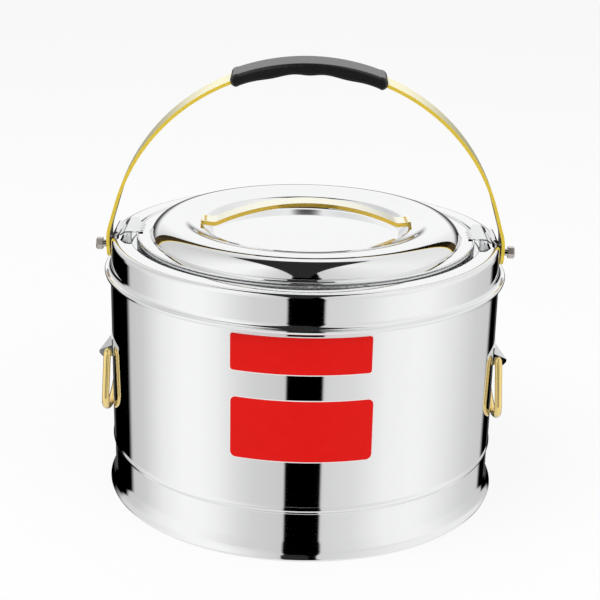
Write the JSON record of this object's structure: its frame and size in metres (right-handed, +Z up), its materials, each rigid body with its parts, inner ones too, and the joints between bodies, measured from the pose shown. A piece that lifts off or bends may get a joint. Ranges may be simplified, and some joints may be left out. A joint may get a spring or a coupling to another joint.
{
  "type": "insulated serving casserole",
  "caption": "Round double-walled steel casserole with a lift-off insulated lid, a swinging brass strap bail with a moulded grip, and brass drop handles on the sides.",
  "frame": {"origin": "on the standing surface at the pot's vertical axis", "axes": "+Z up along the pot's axis; the bail's pivot line runs along X; the bail leans towards -Y"},
  "size_m": [0.3236, 0.3086, 0.3367],
  "materials": {
    "polished_steel": "mirror polished",
    "brushed_steel": "satin",
    "polished_brass": "polished",
    "grip_plastic": "semi-gloss",
    "foam": "rigid foam"
  },
  "bodies": {
    "pot": {"outer_shell": "polished_steel", "base_pan": "polished_steel", "shoulder_ring": "polished_steel", "inner_pot": "brushed_steel", "pot_foam": "foam", "lug_keeper_left": "polished_steel", "pivot_bolt_left": "polished_brass", "pivot_washer_left": "polished_steel", "pivot_nut_left": "polished_steel", "side_bracket_left": "polished_steel", "lug_keeper_right": "polished_steel", "pivot_bolt_right": "polished_brass", "pivot_washer_right": "polished_steel", "pivot_nut_right": "polished_steel", "side_bracket_right": "polished_steel"},
    "lid": {"lid_top": "polished_steel", "lid_liner": "brushed_steel", "lid_foam": "foam", "lid_handle": "polished_brass", "lug_left": "polished_steel", "lug_right": "polished_steel"},
    "bail": {"bail_strap": "polished_brass", "bail_grip": "grip_plastic"},
    "drop_left": {"drop_handle_left": "polished_brass"},
    "drop_right": {"drop_handle_right": "polished_brass"}
  },
  "joints": [
    {"name": "lid_lift", "type": "slide", "parent": "pot", "child": "lid", "axis": [0, 0, 1], "range_m": [0, 0.02]},
    {"name": "bail_swing", "type": "hinge", "parent": "pot", "child": "bail", "pos_m": [0, 0, 0.1882], "axis": [1, 0, 0], "range_deg": [-49, 38]},
    {"name": "drop_left_swing", "type": "hinge", "parent": "pot", "child": "drop_left", "pos_m": [-0.1501, 0, 0.1114], "axis": [0, 1, 0], "range_deg": [0, 165]},
    {"name": "drop_right_swing", "type": "hinge", "parent": "pot", "child": "drop_right", "pos_m": [0.1501, 0, 0.1114], "axis": [0, -1, 0], "range_deg": [0, 165]}
  ]
}
